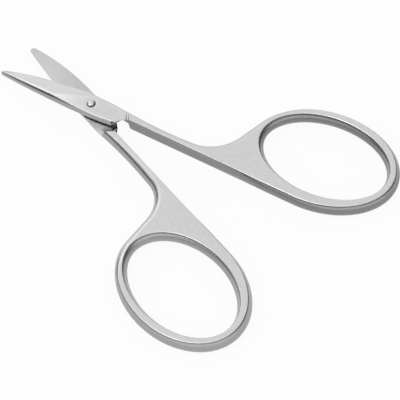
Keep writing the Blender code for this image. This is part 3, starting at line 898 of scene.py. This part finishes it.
def steel(name, colours, roughness, turn, side):
    """Satin stainless steel: brushed along the piece on its faces, with painted light and shade: darker
    on its walls, lighter on the upper blade and darker on the lower, and a painted shadow on the heel's
    slope."""
    surface = Surface(name)
    shader = surface.shader
    place_of = surface.nodes.new("ShaderNodeTexCoord")
    along = surface.turned(place_of.outputs["Object"], turn)
    reach = surface.parts(along)
    facing = surface.parts(surface.turned(place_of.outputs["Normal"], turn))
    geometry = surface.nodes.new("ShaderNodeNewGeometry")
    tilt = surface.absolute(surface.parts(geometry.outputs["Normal"])["Z"])
    height = surface.absolute(reach["Z"])
    on_blade = surface.ease(reach["X"], BLADE_PAINTED_LIGHT_START, BLADE_PAINTED_LIGHT_FULL)
    is_face = surface.mix(
        on_blade, surface.ramp(tilt, ((FACE_START_TILT, 0.0), (FACE_FULL_TILT, 1.0))),
        surface.ramp(tilt, ((BLADE_FACE_START_TILT, 0.0), (BLADE_FACE_FULL_TILT, 1.0))))
    fine = surface.streaks(along, FINE_STREAKS, FINE_DETAIL)
    broad = surface.streaks(along, BROAD_STREAKS, BROAD_DETAIL)

    # painted light and shade: walls darker than faces, the blade lighter on the upper half and darker
    # on the lower
    face = surface.mix(on_blade, colours.face, colours.blade)
    wall = wall_colour(surface, colours, reach, height, tilt, on_blade)
    colour = surface.mix(is_face, wall, face)
    # painted shadow on the heel's slope
    colour = surface.mix(painted_heel_shadow(surface, reach, facing, tilt, side), colour, colours.slope)
    colour = surface.mix(1.0, colour, surface.ramp(fine, FINE_SHADES), "MULTIPLY")
    colour = surface.mix(1.0, colour, surface.ramp(broad, BROAD_SHADES), "MULTIPLY")
    surface.links.new(colour, shader.inputs["Base Color"])

    least, most = FINE_SPREAD
    rough_face = surface.ramp(fine, ((least, roughness - ROUGHNESS_LESS),
                                     (most, roughness + ROUGHNESS_MORE)))
    near_edge = surface.ease(height, WALL_MIDDLE_END, WALL_EDGE_START)
    rough_wall = surface.mix(near_edge, (WALL_MIDDLE_ROUGHNESS,) * 3, (WALL_ROUGHNESS,) * 3)
    surface.links.new(surface.mix(is_face, rough_wall, rough_face), shader.inputs["Roughness"])
    bump = surface.nodes.new("ShaderNodeBump")
    bump.inputs["Strength"].default_value = BUMP_STRENGTH
    bump.inputs["Distance"].default_value = BUMP_DISTANCE
    surface.links.new(fine, bump.inputs["Height"])
    surface.links.new(bump.outputs["Normal"], shader.inputs["Normal"])
    return surface.material


def add_half(node, body, lower, cut_profile, material):
    half = add_object(node + "_finished", forged_half(node + "_finished", lower))
    cut(half, add_turned(node + "_cutter", cut_profile))
    cut(half, add_groove_cutter(node + "_groove", lower))
    turn = -HALF_TURN if lower else HALF_TURN
    half.data.transform(Matrix.Rotation(math.radians(turn), 4, "Z"))
    half.data.materials.append(material)
    shade(half)
    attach(half, body)
    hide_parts(node)


def add_rivet(material):
    rivet = add_turned("pivot_rivet_finished", rivet_profile())
    rivet.data.materials.append(material)
    shade(rivet)
    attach(rivet, "lower")
    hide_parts("pivot_rivet")


def look_matrix(place_at, forward, roll):
    """A camera's or lamp's matrix: at a place, looking along forward, rolled clockwise in degrees."""
    turned = (-forward).to_track_quat("Z", "Y").to_matrix().to_4x4()
    return Matrix.Translation(place_at) @ turned @ Matrix.Rotation(math.radians(-roll), 4, "Z")


def add_camera():
    azimuth, elevation = math.radians(CAMERA_AZIMUTH), math.radians(CAMERA_ELEVATION)
    forward = Vector((-math.sin(azimuth) * math.cos(elevation),
                      math.cos(azimuth) * math.cos(elevation), -math.sin(elevation)))
    data = bpy.data.cameras.new("camera")
    data.sensor_width = SENSOR_WIDTH
    data.lens = CAMERA_LENS
    data.clip_start = NEAREST_SEEN
    data.clip_end = FARTHEST_SEEN
    camera = bpy.data.objects.new("camera", data)
    bpy.context.scene.collection.objects.link(camera)
    camera.matrix_world = look_matrix(CAMERA_PLACE, forward, CAMERA_ROLL)
    bpy.context.scene.camera = camera


def seen_directly(nodes, links):
    """1 for rays from the camera, from reflections and through glass, and 0 for diffuse light."""
    path = nodes.new("ShaderNodeLightPath")
    total = path.outputs["Is Camera Ray"]
    for kind in ("Is Glossy Ray", "Is Transmission Ray"):
        either = nodes.new("ShaderNodeMath")
        either.operation = "MAXIMUM"
        links.new(total, either.inputs[0])
        links.new(path.outputs[kind], either.inputs[1])
        total = either.outputs[0]
    return total


def pale_material(name, colour, whiteness):
    """A matt pale surface that is seen mostly white, and keeps a share of its shadows."""
    material = bpy.data.materials.new(name)
    material.use_nodes = True
    nodes = material.node_tree.nodes
    links = material.node_tree.links
    matt = nodes["Principled BSDF"]
    matt.inputs["Base Color"].default_value = (colour, colour, colour, 1.0)
    matt.inputs["Roughness"].default_value = FLOOR_ROUGHNESS
    matt.inputs["Specular IOR Level"].default_value = FLOOR_GLOSS
    share = nodes.new("ShaderNodeMath")
    share.operation = "MULTIPLY"
    share.inputs[1].default_value = whiteness
    links.new(seen_directly(nodes, links), share.inputs[0])
    white = nodes.new("ShaderNodeEmission")
    blend = nodes.new("ShaderNodeMixShader")
    links.new(share.outputs[0], blend.inputs["Fac"])
    links.new(matt.outputs["BSDF"], blend.inputs[1])
    links.new(white.outputs["Emission"], blend.inputs[2])
    links.new(blend.outputs["Shader"], nodes["Material Output"].inputs["Surface"])
    return material


def add_floor():
    """A plain pale floor that the blades' tips and the rings' far ends rest on."""
    data = bpy.data.meshes.new("floor")
    edge = FLOOR_SIZE / 2
    data.from_pydata([(-edge, -edge, 0), (edge, -edge, 0), (edge, edge, 0), (-edge, edge, 0)], [],
                     [(0, 1, 2, 3)])
    data.materials.append(pale_material("pale_floor", FLOOR_COLOUR, FLOOR_WHITENESS))
    floor = bpy.data.objects.new("floor", data)
    floor.location.z = FLOOR_HEIGHT
    floor.rotation_euler.y = math.radians(-FLOOR_TILT)
    bpy.context.scene.collection.objects.link(floor)


def add_softbox(name, place_at, size, radiance):
    """A square soft lamp of a given radiance that faces the scissors."""
    data = bpy.data.lights.new(name, "AREA")
    data.size = size
    data.energy = radiance * math.pi * size * size
    lamp = bpy.data.objects.new(name, data)
    lamp.matrix_world = look_matrix(place_at, -place_at.normalized(), 0)
    bpy.context.scene.collection.objects.link(lamp)


def add_card(name, stations, level):
    """A curved card round the scissors that only reflections see.

    Each station is an angle from the camera's side and the rises of the card's lower
    and upper edges there, all in degrees.
    """
    mesh = bmesh.new()
    columns = []
    for here, there in zip(stations, stations[1:]):
        for share in spread(0, 1, CARD_COLUMNS + 1)[1 if columns else 0:]:
            offset, *rises = [first + (second - first) * share
                              for first, second in zip(here, there)]
            azimuth = math.radians(CAMERA_AZIMUTH + offset)
            column = []
            for rise in (math.radians(angle) for angle in rises):
                spot = Vector((math.sin(azimuth) * math.cos(rise), -math.cos(azimuth) * math.cos(rise),
                               math.sin(rise)))
                column.append(mesh.verts.new(spot * CARD_DISTANCE))
            columns.append(column)
    join_rows(mesh, columns, False)
    data = bpy.data.meshes.new(name)
    mesh.to_mesh(data)
    mesh.free()
    material = bpy.data.materials.new(name)
    material.use_nodes = True
    nodes = material.node_tree.nodes
    nodes.clear()
    glow = nodes.new("ShaderNodeEmission")
    glow.inputs["Color"].default_value = (1.0, 1.0, 1.0, 1.0)
    glow.inputs["Strength"].default_value = level
    output = nodes.new("ShaderNodeOutputMaterial")
    material.node_tree.links.new(glow.outputs["Emission"], output.inputs["Surface"])
    data.materials.append(material)
    card = bpy.data.objects.new(name, data)
    card.visible_camera = False
    card.visible_diffuse = False
    card.visible_shadow = False
    bpy.context.scene.collection.objects.link(card)


def set_world(diffuse_level):
    """A white surround for the camera and reflections, at a plain level for diffuse light."""
    world = bpy.data.worlds.new("studio")
    world.use_nodes = True
    nodes = world.node_tree.nodes
    links = world.node_tree.links
    nodes.clear()
    white = nodes.new("ShaderNodeBackground")
    white.inputs["Color"].default_value = (1.0, 1.0, 1.0, 1.0)
    plain = nodes.new("ShaderNodeBackground")
    plain.inputs["Color"].default_value = (1.0, 1.0, 1.0, 1.0)
    plain.inputs["Strength"].default_value = diffuse_level
    blend = nodes.new("ShaderNodeMixShader")
    output = nodes.new("ShaderNodeOutputWorld")
    links.new(seen_directly(nodes, links), blend.inputs["Fac"])
    links.new(plain.outputs["Background"], blend.inputs[1])
    links.new(white.outputs["Background"], blend.inputs[2])
    links.new(blend.outputs["Shader"], output.inputs["Surface"])
    bpy.context.scene.world = world


add_camera()
add_half("upper_half", "upper", False, upper_cut_profile(),
         steel("upper_half_satin", UPPER_COLOURS, HALF_ROUGHNESS, HALF_TURN, 1))
add_half("lower_half", "lower", True, lower_cut_profile(),
         steel("lower_half_satin", LOWER_COLOURS, HALF_ROUGHNESS, -HALF_TURN, -1))
add_rivet(steel("pivot_rivet_bright", RIVET_COLOURS, RIVET_ROUGHNESS, 0.0, 1))
add_floor()
add_softbox("key_softbox", LAMP_PLACE, LAMP_SIZE, LAMP_RADIANCE)
for card_name, card_level, card_stations in CARDS:
    add_card(card_name, card_stations, card_level)
set_world(WORLD_LEVEL)
bpy.context.scene.view_settings.view_transform = "Standard"
